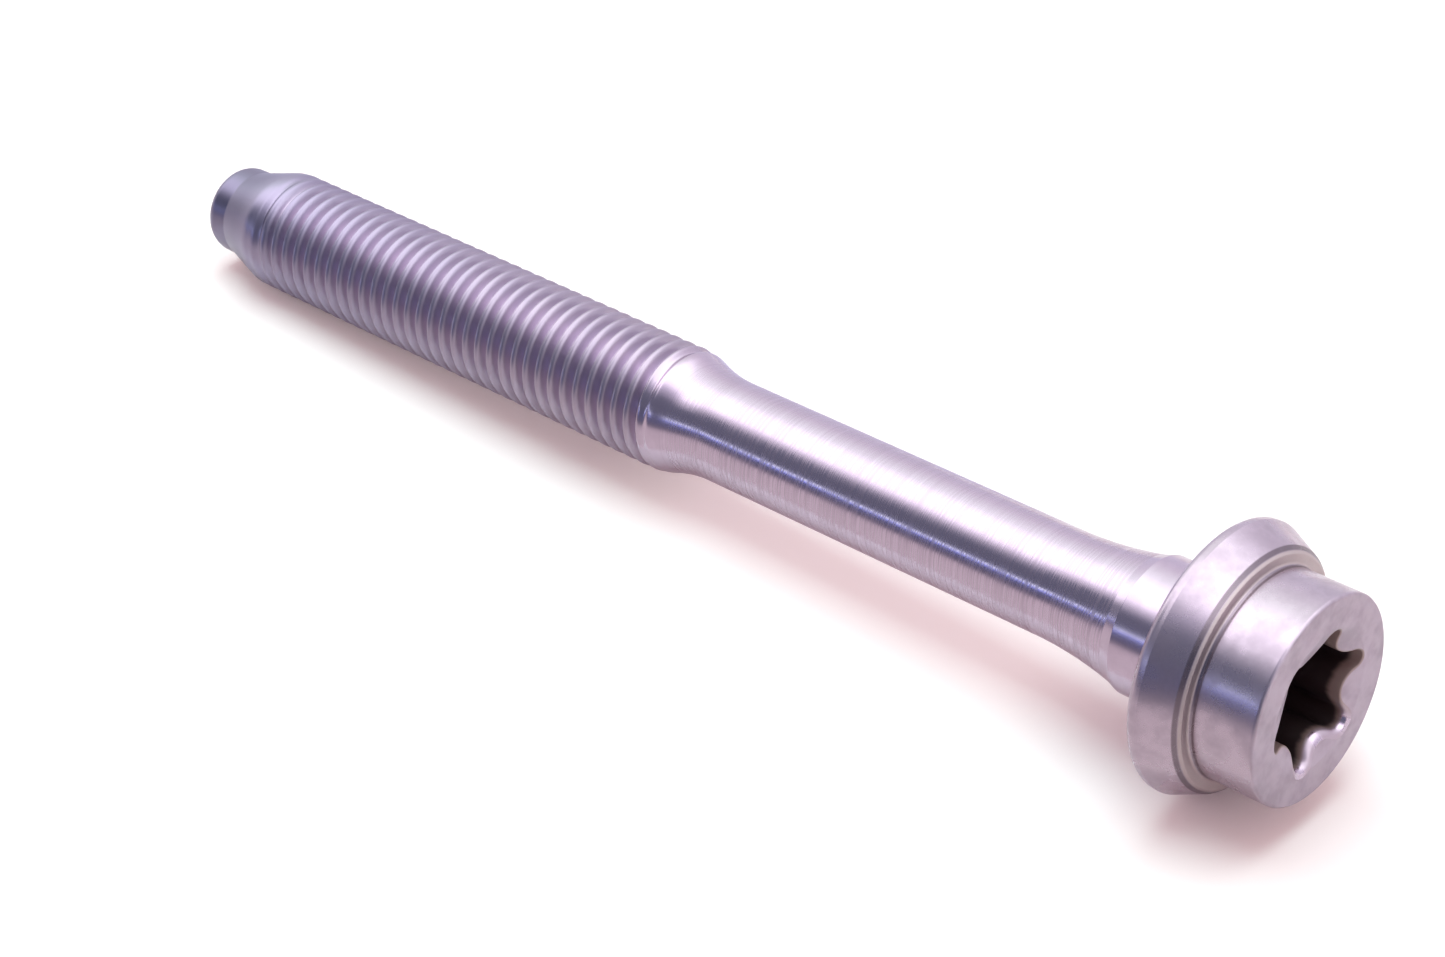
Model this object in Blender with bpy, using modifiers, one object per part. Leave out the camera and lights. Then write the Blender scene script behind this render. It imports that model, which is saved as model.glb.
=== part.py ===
"""A waisted cylinder head bolt, M11 by 1.5, with a flanged head and a six-lobe socket.

It stands on its head: the head face lies at z = 0 round the origin, and the tip points up.
Every station along the bolt is a height above the head face. Lengths are in metres.
"""

from math import acos, atan2, ceil, cos, hypot, pi, radians, sin, tan

import bmesh
import bpy

# Head: a short cylinder with the socket in its face
HEAD_DIAMETER = 0.0170
HEAD_HEIGHT = 0.0055
HEAD_EDGE_RADIUS = 0.0003
HEAD_FOOT_RADIUS = 0.0003

# Flange: a flat land, a chamfered front rim, a tapered side, a rounded rear rim and the bearing face
FLANGE_DIAMETER = 0.0220
FLANGE_FRONT_DIAMETER = 0.0198
FLANGE_THICKNESS = 0.0040
FLANGE_CHAMFER = 0.0005
FLANGE_SIDE_LENGTH = 0.0024
FLANGE_REAR_RADIUS = 0.0008
BEARING_HEIGHT = HEAD_HEIGHT + FLANGE_THICKNESS

# Collar under the head, which centres the bolt in its hole
COLLAR_DIAMETER = 0.01138
COLLAR_LENGTH = 0.0054
COLLAR_CHAMFER_LENGTH = 0.0010
COLLAR_CHAMFER_ANGLE = radians(20)
COLLAR_ROOT_RADIUS = 0.0006

# Waist, turned down to stretch evenly, and the curves that lead out of it
WAIST_DIAMETER = 0.00885
WAIST_FLARE_RADIUS = 0.0350
SHOULDER_HOLLOW_RADIUS = 0.0130
SHOULDER_CROWN_RADIUS = 0.0060

# Thread: its outside diameter, where its full diameter starts and ends, and the taper that leads it in
THREAD_DIAMETER = 0.0110
THREAD_START = 0.0643
THREAD_END = 0.1142
LEAD_TAPER_LENGTH = 0.0046

# Its right-hand groove: pitch, depth, the flat left on each crest, and the turns over which it fades at each end
THREAD_PITCH = 0.0015
THREAD_DEPTH = 0.0009
THREAD_CREST_WIDTH = 0.0003
THREAD_FADE_TURNS = 1.5

# Pilot at the tip
PILOT_DIAMETER = 0.0082
PILOT_LENGTH = 0.0027
PILOT_EDGE_RADIUS = 0.0012

# Six-lobe internal drive, close to size 55, with a conical mouth and a conical floor
SOCKET_ACROSS_LOBES = 0.0113
SOCKET_ACROSS_RIDGES = 0.0080
SOCKET_LOBE_RADIUS = 0.00092
SOCKET_DEPTH = 0.0056
SOCKET_FLOOR_ANGLE = radians(30)
SOCKET_MOUTH_DIAMETER = 0.0115
SOCKET_MOUTH_ANGLE = radians(20)

# How finely the round forms are faceted
HEAD_STEPS = 64
SHANK_STEPS = 24
LOBE_STEPS = 7
FINE_ARC_STEPS = 3
WIDE_ARC_STEPS = 8

# How far the cutters run past the face and past the floor's point, and how far the groove's runs past the crests
CUTTER_OVERRUN = 0.0020
GROOVE_OVERRUN = 0.00012

# How much smaller the shank is than the end of the collar's chamfer, and how far it is let into it
SHANK_INSET = 0.00003

# Points closer than this are one; edges that turn more than this angle stay sharp
MERGE_DISTANCE = 0.00001
SHARP_ANGLE = radians(25)

STEEL_COLOUR = (0.52, 0.50, 0.52, 1.0)
STEEL_ROUGHNESS = 0.30


def clear_scene():
    for thing in list(bpy.data.objects):
        bpy.data.objects.remove(thing, do_unlink=True)


def add_collection(name):
    collection = bpy.data.collections.new(name)
    bpy.context.scene.collection.children.link(collection)
    return collection


def steel():
    """Bright turned and rolled steel."""
    material = bpy.data.materials.new("bright_steel")
    material.use_nodes = True
    shader = material.node_tree.nodes["Principled BSDF"]
    shader.inputs["Base Color"].default_value = STEEL_COLOUR
    shader.inputs["Metallic"].default_value = 1.0
    shader.inputs["Roughness"].default_value = STEEL_ROUGHNESS
    return material


def arc(centre, radius, start, end, steps):
    """Points (radius, height) from one angle to another round a centre; angle 0 points away from the axis."""
    points = []
    for step in range(steps + 1):
        angle = start + (end - start) * step / steps
        points.append((centre[0] + radius * cos(angle), centre[1] + radius * sin(angle)))
    return points


def pilot_profile(top):
    """The end face, the rounded edge and the side of the pilot."""
    radius = PILOT_DIAMETER / 2
    edge = PILOT_EDGE_RADIUS
    rounding = arc((radius - edge, top - edge), edge, pi / 2, 0, 2 * FINE_ARC_STEPS)
    return [(0, top)] + rounding + [(radius, top - PILOT_LENGTH)]


def thread_profile():
    """The plain cylinder of the thread's outside diameter."""
    radius = THREAD_DIAMETER / 2
    return [(radius, THREAD_END), (radius, THREAD_START)]


def shoulder_profile():
    """From the thread down to the waist: a crown and then a hollow, each tangent to what it meets."""
    thread = THREAD_DIAMETER / 2
    waist = WAIST_DIAMETER / 2
    slope = acos(1 - (thread - waist) / (SHOULDER_CROWN_RADIUS + SHOULDER_HOLLOW_RADIUS))
    crown_centre = (thread - SHOULDER_CROWN_RADIUS, THREAD_START)
    crown = arc(crown_centre, SHOULDER_CROWN_RADIUS, 0, -slope, 2 * FINE_ARC_STEPS)
    foot = THREAD_START - (SHOULDER_CROWN_RADIUS + SHOULDER_HOLLOW_RADIUS) * sin(slope)
    hollow_centre = (waist + SHOULDER_HOLLOW_RADIUS, foot)
    hollow = arc(hollow_centre, SHOULDER_HOLLOW_RADIUS, pi - slope, pi, WIDE_ARC_STEPS)
    return crown[1:] + hollow[1:]


def chamfer_end():
    """Radius and height of the end of the collar's chamfer."""
    radius = COLLAR_DIAMETER / 2 - COLLAR_CHAMFER_LENGTH * tan(COLLAR_CHAMFER_ANGLE)
    return radius, BEARING_HEIGHT + COLLAR_LENGTH + COLLAR_CHAMFER_LENGTH


def flare_profile():
    """From the waist down in a long hollow that ends just inside the collar's chamfer."""
    waist = WAIST_DIAMETER / 2
    radius, height = chamfer_end()
    slope = acos(1 - (radius - SHANK_INSET - waist) / WAIST_FLARE_RADIUS)
    centre = (waist + WAIST_FLARE_RADIUS, height - SHANK_INSET + WAIST_FLARE_RADIUS * sin(slope))
    return arc(centre, WAIST_FLARE_RADIUS, pi, pi + slope, WIDE_ARC_STEPS)


def collar_profile():
    """The flat end of the collar, its chamfer and its side's edge."""
    radius, height = chamfer_end()
    return [(0, height), (radius, height), (COLLAR_DIAMETER / 2, BEARING_HEIGHT + COLLAR_LENGTH)]


def bearing_profile():
    """The hollow at the collar's root, the flat bearing face and the rounded rear rim."""
    bearing = BEARING_HEIGHT
    collar = COLLAR_DIAMETER / 2
    root = COLLAR_ROOT_RADIUS
    hollow = arc((collar + root, bearing + root), root, pi, pi * 1.5, FINE_ARC_STEPS)
    rim = FLANGE_DIAMETER / 2
    edge = FLANGE_REAR_RADIUS
    rounding = arc((rim - edge, bearing - edge), edge, pi / 2, 0, 2 * FINE_ARC_STEPS)
    return hollow + rounding


def flange_front_profile():
    """The tapered side, the chamfered front rim and the land at the head's foot."""
    front = FLANGE_FRONT_DIAMETER / 2
    head = HEAD_DIAMETER / 2
    foot = HEAD_FOOT_RADIUS
    side_end = HEAD_HEIGHT + FLANGE_CHAMFER
    side = [(FLANGE_DIAMETER / 2, side_end + FLANGE_SIDE_LENGTH), (front, side_end)]
    land = [(front - FLANGE_CHAMFER, HEAD_HEIGHT)]
    hollow = arc((head + foot, HEAD_HEIGHT - foot), foot, pi / 2, pi, FINE_ARC_STEPS)
    return side + land + hollow


def head_profile():
    """The head's rounded edge, its face and the conical mouth of the socket, down to the axis."""
    head = HEAD_DIAMETER / 2
    edge = HEAD_EDGE_RADIUS
    mouth = SOCKET_MOUTH_DIAMETER / 2
    rounding = arc((head - edge, edge), edge, 0, -pi / 2, FINE_ARC_STEPS)
    return rounding + [(mouth, 0), (0, mouth * tan(SOCKET_MOUTH_ANGLE))]


def shank_profile():
    """The blank's outline from the tip down its outer side to a point on the axis inside the collar."""
    top = THREAD_END + LEAD_TAPER_LENGTH + PILOT_LENGTH
    outside = pilot_profile(top) + thread_profile() + shoulder_profile() + flare_profile()
    return outside + [(0, BEARING_HEIGHT)]


def forging_profile():
    """The outline of the collar, the flange and the head, from the collar's end down to the head face."""
    return collar_profile() + bearing_profile() + flange_front_profile() + head_profile()


def screwed(name, points, edges, steps, collection):
    """An object with points and edges in the XZ plane, swept round Z by a Screw modifier."""
    mesh = bpy.data.meshes.new(name)
    mesh.from_pydata([(radius, 0, height) for radius, height in points], edges, [])
    thing = bpy.data.objects.new(name, mesh)
    collection.objects.link(thing)
    screw = thing.modifiers.new("turn", "SCREW")
    screw.axis = "Z"
    screw.angle = 2 * pi
    screw.steps = steps
    screw.render_steps = steps
    screw.merge_threshold = MERGE_DISTANCE
    screw.use_smooth_shade = True
    return thing


def turned(name, points, steps, collection):
    """A solid of revolution from a line of points that starts and ends on the axis."""
    edges = [(index, index + 1) for index in range(len(points) - 1)]
    thing = screwed(name, points, edges, steps, collection)
    thing.modifiers["turn"].use_merge_vertices = True
    return thing


def groove(collection):
    """The thread's V, wound round the shank; at both ends it rises until it is out of the steel."""
    crest = THREAD_DIAMETER / 2
    root_height = THREAD_START + THREAD_PITCH / 2
    wall = (THREAD_PITCH - THREAD_CREST_WIDTH) / 2
    half = wall * (THREAD_DEPTH + GROOVE_OVERRUN) / THREAD_DEPTH
    first = -2
    turns = ceil((THREAD_END - THREAD_START) / THREAD_PITCH) + 1
    low = root_height + first * THREAD_PITCH
    section = [(crest - THREAD_DEPTH, low), (crest + GROOVE_OVERRUN, low - half), (crest + GROOVE_OVERRUN, low + half)]
    thing = screwed("groove", section, [(0, 1), (1, 2), (2, 0)], SHANK_STEPS, collection)
    thing.modifiers["turn"].screw_offset = THREAD_PITCH
    thing.modifiers["turn"].iterations = turns
    make_mesh(thing)

    shape = bmesh.new()
    shape.from_mesh(thing.data)
    bmesh.ops.holes_fill(shape, edges=[edge for edge in shape.edges if edge.is_boundary])
    bmesh.ops.recalc_face_normals(shape, faces=shape.faces)
    for point in shape.verts:
        angle = atan2(point.co.y, point.co.x) / (2 * pi)
        turn = angle + round((point.co.z - root_height) / THREAD_PITCH - angle)
        from_end = min(turn - first, first + turns - turn)
        rise = (THREAD_DEPTH + GROOVE_OVERRUN) * max(0, 1 - from_end / THREAD_FADE_TURNS)
        wider = 1 + rise / hypot(point.co.x, point.co.y)
        point.co.x *= wider
        point.co.y *= wider
    shape.to_mesh(thing.data)
    shape.free()
    return thing


def lobe_outline():
    """The six-lobe outline: outer arcs joined by tangent ridges, with lobes on plus and minus Y."""
    lobe = SOCKET_LOBE_RADIUS
    lobe_centre = SOCKET_ACROSS_LOBES / 2 - lobe
    ridge_top = SOCKET_ACROSS_RIDGES / 2
    share = lobe_centre * cos(pi / 6)
    ridge = (lobe**2 - lobe_centre**2 - ridge_top**2 + 2 * ridge_top * share) / (2 * (ridge_top - share - lobe))
    ridge_centre = ridge_top + ridge
    to_ridge = (ridge_centre * cos(pi / 6) - lobe_centre, ridge_centre * sin(pi / 6))
    turn = atan2(to_ridge[1], to_ridge[0])
    half = turn - pi / 6
    points = []
    for index in range(6):
        middle = pi / 2 + index * pi / 3
        centre = (lobe_centre * cos(middle), lobe_centre * sin(middle))
        points += arc(centre, lobe, middle - turn, middle + turn, LOBE_STEPS)
        valley = middle + pi / 6
        centre = (ridge_centre * cos(valley), ridge_centre * sin(valley))
        points += arc(centre, ridge, valley + pi + half, valley + pi - half, LOBE_STEPS)[1:-1]
    return points


def floor_point():
    """The height of the point of the socket's conical floor; its depth is measured at the lobes."""
    return SOCKET_DEPTH + SOCKET_ACROSS_LOBES / 2 * tan(SOCKET_FLOOR_ANGLE)


def six_lobe_prism(collection):
    """The drive's outline drawn out from in front of the face to past the floor's point."""
    mesh = bpy.data.meshes.new("six_lobe_prism")
    shape = bmesh.new()
    outline = [shape.verts.new((x, y, -CUTTER_OVERRUN)) for x, y in lobe_outline()]
    face = shape.faces.new(outline)
    drawn = bmesh.ops.extrude_face_region(shape, geom=[face])
    lifted = [item for item in drawn["geom"] if isinstance(item, bmesh.types.BMVert)]
    bmesh.ops.translate(shape, verts=lifted, vec=(0, 0, floor_point() + 2 * CUTTER_OVERRUN))
    bmesh.ops.recalc_face_normals(shape, faces=shape.faces)
    shape.to_mesh(mesh)
    shape.free()
    prism = bpy.data.objects.new("six_lobe_prism", mesh)
    collection.objects.link(prism)
    return prism


def punch(collection):
    """A round plug wider than the socket, whose conical end forms the socket's floor."""
    radius = SOCKET_ACROSS_LOBES
    point = floor_point()
    side_end = point - radius * tan(SOCKET_FLOOR_ANGLE)
    low = min(side_end, 0) - CUTTER_OVERRUN / 2
    return turned("punch", [(0, point), (radius, side_end), (radius, low), (0, low)], HEAD_STEPS, collection)


def boolean(thing, operation, cutter):
    modifier = thing.modifiers.new(cutter.name, "BOOLEAN")
    modifier.operation = operation
    modifier.solver = "EXACT"
    modifier.object = cutter


def hide_tool(thing):
    thing.hide_render = True
    thing.display_type = "WIRE"


def weld(thing):
    """Merges the points that a cut leaves closer together than the solid can tell apart."""
    modifier = thing.modifiers.new("weld", "WELD")
    modifier.merge_threshold = MERGE_DISTANCE


def make_mesh(thing):
    """Makes the modifiers' result the object's own mesh."""
    shape = thing.evaluated_get(bpy.context.evaluated_depsgraph_get())
    mesh = bpy.data.meshes.new_from_object(shape)
    mesh.name = thing.name
    thing.modifiers.clear()
    thing.data = mesh


def finish(thing):
    """Turns the object into a plain mesh, smooth on its curves and sharp at its edges."""
    make_mesh(thing)
    thing.data.shade_smooth()
    thing.data.set_sharp_from_angle(angle=SHARP_ANGLE)


def main():
    clear_scene()
    part = add_collection("cylinder_head_bolt")
    tools = add_collection("tools")

    bolt = turned("bolt", forging_profile(), HEAD_STEPS, part)
    bolt.data.materials.append(steel())

    shank = turned("shank", shank_profile(), SHANK_STEPS, tools)
    thread = groove(tools)
    boolean(shank, "DIFFERENCE", thread)
    weld(shank)
    boolean(bolt, "UNION", shank)

    plug = punch(tools)
    prism = six_lobe_prism(tools)
    boolean(prism, "INTERSECT", plug)
    boolean(bolt, "DIFFERENCE", prism)
    for tool in (shank, thread, plug, prism):
        hide_tool(tool)
    finish(bolt)


main()
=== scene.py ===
"""The looks of a waisted cylinder head bolt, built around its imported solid.

The bolt stands on its head face at z = 0 with its tip up. Three operators make it the way it is really made:
forge the head, turn the shank, roll the thread. A fourth sets up the studio. Lengths are in metres.
"""

from math import acos, atan2, cos, pi, radians, sin, tan

import bpy
import numpy as np
from bpy.props import FloatProperty, FloatVectorProperty, IntProperty, PointerProperty
from mathutils import Matrix, Vector


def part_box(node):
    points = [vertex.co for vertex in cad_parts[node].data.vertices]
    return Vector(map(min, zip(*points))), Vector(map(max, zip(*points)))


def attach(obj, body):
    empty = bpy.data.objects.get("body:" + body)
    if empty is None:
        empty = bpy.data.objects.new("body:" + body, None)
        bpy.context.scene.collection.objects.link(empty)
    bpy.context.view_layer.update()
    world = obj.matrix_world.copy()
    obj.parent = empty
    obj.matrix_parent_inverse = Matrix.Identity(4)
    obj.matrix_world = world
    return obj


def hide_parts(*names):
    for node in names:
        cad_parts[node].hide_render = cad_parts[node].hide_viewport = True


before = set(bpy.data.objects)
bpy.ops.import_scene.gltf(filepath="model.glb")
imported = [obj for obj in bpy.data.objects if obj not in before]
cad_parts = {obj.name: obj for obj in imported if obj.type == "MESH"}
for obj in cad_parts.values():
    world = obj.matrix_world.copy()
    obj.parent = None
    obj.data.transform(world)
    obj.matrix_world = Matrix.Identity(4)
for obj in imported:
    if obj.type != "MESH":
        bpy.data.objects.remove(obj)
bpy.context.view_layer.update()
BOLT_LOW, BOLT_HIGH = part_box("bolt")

bl_info = {
    "name": "Cylinder head bolt",
    "version": (1, 0, 0),
    "blender": (4, 5, 0),
    "location": "View3D > Sidebar > Head Bolt",
    "description": "Forges, turns and rolls a waisted cylinder head bolt and sets it in a pale studio",
    "category": "Object",
}

NODE = "bolt"
BODY = "root"

BOLT_LENGTH = BOLT_HIGH.z - BOLT_LOW.z
FLANGE_WIDTH = BOLT_HIGH.x - BOLT_LOW.x

LOBES = 6
UP = Vector((0, 0, 1))
BLACK = (0.0, 0.0, 0.0)

# A profile's long runs get points this far from their ends, so that flats stay flat, and between them at these steps
EDGE_SUPPORT = 0.00005
LONG_RUN = 4 * EDGE_SUPPORT
HEAD_STEP = 0.0006
SHANK_STEP = 0.0015

# Steps round a profile's corners and along the shank's arcs
CORNER_STEPS = 6
TIP_CORNER_STEPS = 10
FLARE_STEPS = 28
HOLLOW_STEPS = 18
CROWN_STEPS = 24

# A profile's point this close to the axis is a pole, and one this close to the point before it is left out
ON_AXIS = 1e-9
SAME_POINT = 1e-7

# The collar's outer rounding, and the share of its root hollow that keeps two points from falling on each other
COLLAR_EDGE = 0.0001
COLLAR_ROOT_SHARE = 0.999

# Where the socket's rings of points lie, as shares of the way across each of its parts
FLOOR_SHARES = (0.1, 0.3, 0.5, 0.7, 0.85, 0.95, 0.99)
WALL_SHARES = (0.0, 0.03, 0.25, 0.5, 0.75, 0.9, 0.97, 1.0)
LIP_SHARES = (0.25, 0.5, 0.75, 1.0)
MOUTH_SHARES = (0.08, 0.5, 0.92, 1.0)
FACE_SHARES = (0.2, 0.6)

# The share of the wear's spread over which it fades, and the least width of the mouth outside the lip
WEAR_FADE = 0.4
MOUTH_WIDTH = 0.00004

# Bands on the head, with their soft edge: heights from the land, in metres or for the chamfer as shares of it, and
# radii from the rim beside them, in metres. The chamfer and foot bands carry painted shade, the land its own colour
CHAMFER_SHADE_HEIGHTS = (0.52, 0.90)
CHAMFER_SHADE_SOFT = 0.24
CHAMFER_SHADE_RADII = (-0.0009, -0.0004)
FOOT_SHADE_HEIGHTS = (-0.00042, -0.00015)
FOOT_SHADE_RADII = (0.00005, 0.0002)
LAND_HEIGHTS = (-0.00008, 0.00014)
LAND_RADII = (0.00003, 0.00015)
BAND_SOFT = 0.0001

# Where the shank's finish changes, in metres past the collar's end, past the thread's start and past its end, and
# the depths, as shares of the thread's own, between which its groove gets a painted lighter colour against its shade
TURNING_STARTS = (-0.0001, 0.0002)
TURNING_ENDS = (-0.0060, -0.0020)
FINISH_CHANGES = (-0.001, 0.001)
TONE_CHANGES = (-0.0014, 0.0006)
TIP_DARKENS = (-0.001, 0.003)
GROOVE_PAINTED_LIGHT_DEPTHS = (0.1, 0.85)

# Depths below the head's face and the socket's mouth, in metres, over which each thing ends or begins; the last is
# where the socket's painted shade begins
FACE_ENDS = (0.00005, 0.00025)
RUBBING_ENDS = (0.00035, 0.0007)
SOCKET_SHADE_BEGINS = (0.0007, 0.0014)

# How far the thread's groove opens past its start, as a share of its run-out, and the least radius to divide by
OPENS_PAST = 0.2
TINY_RADIUS = 0.000001

# Where the waist's bounced light lies on the table, in metres, and the share of it that stays along the thread
BOUNCE_ASIDE = (0.001, 0.011)
BOUNCE_STARTS = (0.016, 0.030)
BOUNCE_FADES = (0.062, 0.075)
BOUNCE_STAYS = 0.35

# The camera's sensor in millimetres, and how near and how far it sees in metres
SENSOR_WIDTH = 36.0
NEAR_CLIP = 0.01
FAR_CLIP = 20.0


def length(name, text, default):
    """A length that the user can change."""
    return FloatProperty(name=name, description=text, default=default, min=0.0, unit="LENGTH", precision=5)


def angle(name, text, default):
    """An angle that the user can change, given here in degrees."""
    return FloatProperty(name=name, description=text, default=radians(default), subtype="ANGLE")


def colour(name, text, default):
    """A linear colour that the user can change."""
    return FloatVectorProperty(name=name, description=text, default=default, size=3, subtype="COLOR", min=0.0)


def spot(name, text, default):
    """A point that the user can move."""
    return FloatVectorProperty(name=name, description=text, default=default, subtype="TRANSLATION", unit="LENGTH")


def share(name, text, default):
    """A share from 0 to 1 that the user can change."""
    return FloatProperty(name=name, description=text, default=default, min=0.0, max=1.0, subtype="FACTOR")


class HeadSizes(bpy.types.PropertyGroup):
    """Sizes of the head, the flange and the socket."""

    diameter: length("Head diameter", "Outside of the cylindrical head", 0.0170)
    height: length("Head height", "From the head face to the flange", 0.0055)
    edge_radius: length("Edge radius", "Rounding round the head face", 0.0003)
    foot_radius: length("Foot radius", "Hollow between head and flange", 0.0003)
    flange_diameter: length("Flange diameter", "Widest part of the flange", FLANGE_WIDTH)
    flange_front: length("Flange front", "Flange diameter where its front rim starts", 0.0198)
    flange_thickness: length("Flange thickness", "From the land to the bearing face", 0.0040)
    flange_chamfer: length("Flange chamfer", "Chamfer of the front rim", 0.0005)
    flange_side: length("Flange side", "Height of the tapered side", 0.0024)
    flange_rear_radius: length("Rear rim", "Rounding of the rear rim", 0.0008)
    rim_radius: length("Rim radius", "Small rounding of the chamfer's edges", 0.00015)
    lobes: length("Across lobes", "Width of the six-lobe socket across its lobes", 0.0113)
    ridges: length("Across ridges", "Width of the socket across its ridges", 0.0080)
    lobe_radius: length("Lobe radius", "Radius of each of the socket's lobes", 0.00092)
    socket_depth: length("Socket depth", "Depth of the socket at its lobes", 0.0056)
    floor_angle: angle("Floor angle", "Slope of the socket's conical floor", 30)
    mouth_diameter: length("Mouth diameter", "Outside of the socket's conical mouth", 0.0115)
    mouth_angle: angle("Mouth angle", "Slope of the conical mouth from the face", 20)
    mouth_edge: length("Mouth edge", "Rounding where the mouth meets the socket's wall", 0.00012)
    mouth_wear: length("Mouth wear", "Extra rounding of the mouth's worn side", 0.00050)
    wear_angle: angle("Wear angle", "Direction of the mouth's worn side, 0 along +X", 121)
    wear_spread: angle("Wear spread", "How far the wear goes to either side", 50)
    mouth_rim: length("Mouth rim", "Diameter where the flat face starts outside the mouth", 0.0134)
    around: IntProperty(name="Steps around", description="Points round the head", default=420, min=24)


class ShankSizes(bpy.types.PropertyGroup):
    """Sizes of the collar, the waist and the shoulder."""

    collar_diameter: length("Collar diameter", "The collar that centres the bolt", 0.01138)
    collar_length: length("Collar length", "From the bearing face to the collar's chamfer", 0.0054)
    collar_root: length("Collar root", "Hollow where the collar meets the flange", 0.0006)
    chamfer_length: length("Chamfer length", "Length of the collar's chamfer", 0.0010)
    chamfer_angle: angle("Chamfer angle", "Slope of the collar's chamfer", 20)
    waist_diameter: length("Waist diameter", "The turned waist", 0.00885)
    flare_radius: length("Flare radius", "Long hollow from the waist to the collar", 0.0350)
    hollow_radius: length("Shoulder hollow", "Hollow from the waist to the thread", 0.0130)
    crown_radius: length("Shoulder crown", "Crown that meets the thread", 0.0060)
    around: IntProperty(name="Steps around", description="Points round the shank", default=100, min=24)


class ThreadSizes(bpy.types.PropertyGroup):
    """Sizes of the rolled thread and the pilot."""

    diameter: length("Thread diameter", "Outside of the thread", 0.0110)
    pitch: length("Pitch", "Advance of the thread in one turn", 0.0015)
    depth: length("Depth", "From crest to root", 0.0009)
    crest: share("Crest share", "Share of the pitch that the crest takes", 0.14)
    root: share("Root share", "Share of the pitch that the root takes", 0.06)
    crown: length("Crest crown", "How far the crest is rounded", 0.00004)
    start: length("Start", "Height where the thread has its full diameter", 0.0643)
    end: length("End", "Height where the lead taper starts", 0.1142)
    run_out: length("Run-out", "Length over which the groove fades at the shoulder", 0.0016)
    run_in: length("Run-in", "Length over which the groove fades at the tip", 0.0042)
    taper_length: length("Taper length", "Length of the lead taper", 0.0046)
    taper_edge: length("Taper edge", "Rounding where the taper starts", 0.0040)
    pilot_diameter: length("Pilot diameter", "The plain pilot at the tip", 0.0082)
    pilot_root: length("Pilot root", "Hollow where the taper meets the pilot", 0.0008)
    pilot_edge: length("Pilot edge", "Rounding round the pilot's end", 0.0012)
    rows: IntProperty(name="Rows per turn", description="Rings of points in one pitch", default=18, min=6)


class SteelLooks(bpy.types.PropertyGroup):
    """Colours and finish of the steel."""

    tint: colour("Steel", "Bright steel", (0.55, 0.445, 0.54))
    dull: colour("Dull steel", "Slightly darker patches", (0.46, 0.365, 0.445))
    head_tint: colour("Head", "Forged steel of the head", (0.525, 0.43, 0.50))
    head_dull: colour("Dull head", "Darker patches of the head", (0.43, 0.35, 0.41))
    thread_near: colour("Thread", "Rolled steel where the thread starts", (0.41, 0.34, 0.41))
    thread_far: colour("Thread end", "Rolled steel where the thread ends", (0.315, 0.275, 0.375))
    # Painted light: a lighter colour for the thread's groove that offsets the shade in it
    groove: colour("Groove", "Rolled steel in the thread's groove", (0.53, 0.445, 0.55))
    # A darker colour for the taper and the pilot
    tip: colour("Tip", "Oiled steel of the taper and the pilot", (0.21, 0.185, 0.265))
    land: colour("Land", "The flange's flat ring beside the head", (0.50, 0.415, 0.415))
    # Painted shade for the flange's chamfer and the head's foot, also the dark of the face's stains
    seam: colour("Seams", "Dirt in the flange's chamfer and the head's foot", (0.13, 0.10, 0.115))
    socket: colour("Socket", "The socket's walls near its mouth", (0.30, 0.225, 0.215))
    # Painted shade that darkens the socket further in
    deep: colour("Socket depth", "The oily dark deep in the socket", (0.030, 0.020, 0.022))
    head_roughness: share("Head roughness", "Satin finish of the forged head", 0.29)
    waist_roughness: share("Waist roughness", "Finish of the turned waist", 0.24)
    thread_roughness: share("Thread roughness", "Finish of the rolled thread", 0.33)
    collar_roughness: share("Collar roughness", "Finish of the collar", 0.20)
    grain: share("Turning grain", "How strongly turning marks spread the light along the bolt", 0.70)


class StudioSettings(bpy.types.PropertyGroup):
    """The camera at the photograph's viewing angle, the pale table and the lights."""

    aim: spot("Aim", "Point that the camera looks at", (-0.003771, 0.000428, 0.056867))
    azimuth: angle("Azimuth", "Camera's direction round the bolt, 0 along -Y", -6.47)
    elevation: angle("Elevation", "Camera's angle above the level of its aim", -35.90)
    roll: angle("Roll", "Turn of the camera about its view", 64.80)
    distance: length("Distance", "From the camera to its aim", 0.26680)
    lens: FloatProperty(name="Lens", description="Focal length in millimetres", default=80.245, min=1.0)
    table_azimuth: angle("Table azimuth", "Direction that the table beside the bolt faces", 41.54)
    table_elevation: angle("Table elevation", "Tilt of the table's facing direction", -3.004)
    table_distance: length("Table distance", "From the bolt's origin to the table", 0.011446)
    table_size: length("Table size", "Width of the table and the floor", 2.4)
    table: colour("Table", "The white table top", (0.90, 0.90, 0.90))
    table_reflected: colour("Table in the steel", "The table top as the steel reflects it", (0.77, 0.79, 0.81))
    bounce: colour("Bounced light", "What the waist throws back into its shadow on the table", (0.21, 0.19, 0.18))
    floor: colour("Floor", "The pale floor, tinted against the fill light", (0.64, 0.90, 0.88))
    floor_glow: colour("Floor glow", "What the floor adds to come out white", (0.37, 0.35, 0.35))
    white: colour("Background", "What the camera and the steel see round the table", (1.0, 1.0, 1.0))
    fill: colour("Fill light", "Soft light from all round", (1.05, 0.755, 0.775))
    key: colour("Key light", "Colour of the soft lamp above the table", (0.70, 1.0, 0.97))
    key_power: FloatProperty(name="Key power", description="Power of the soft lamp in watts", default=6.6, min=0.0)
    key_distance: length("Key distance", "From the bolt to the lamp", 0.9)
    key_size: length("Key size", "Width of the lamp", 0.7)


class BoltSettings(bpy.types.PropertyGroup):
    """All the settings together."""

    head: PointerProperty(type=HeadSizes)
    shank: PointerProperty(type=ShankSizes)
    thread: PointerProperty(type=ThreadSizes)
    steel: PointerProperty(type=SteelLooks)
    studio: PointerProperty(type=StudioSettings)


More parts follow.
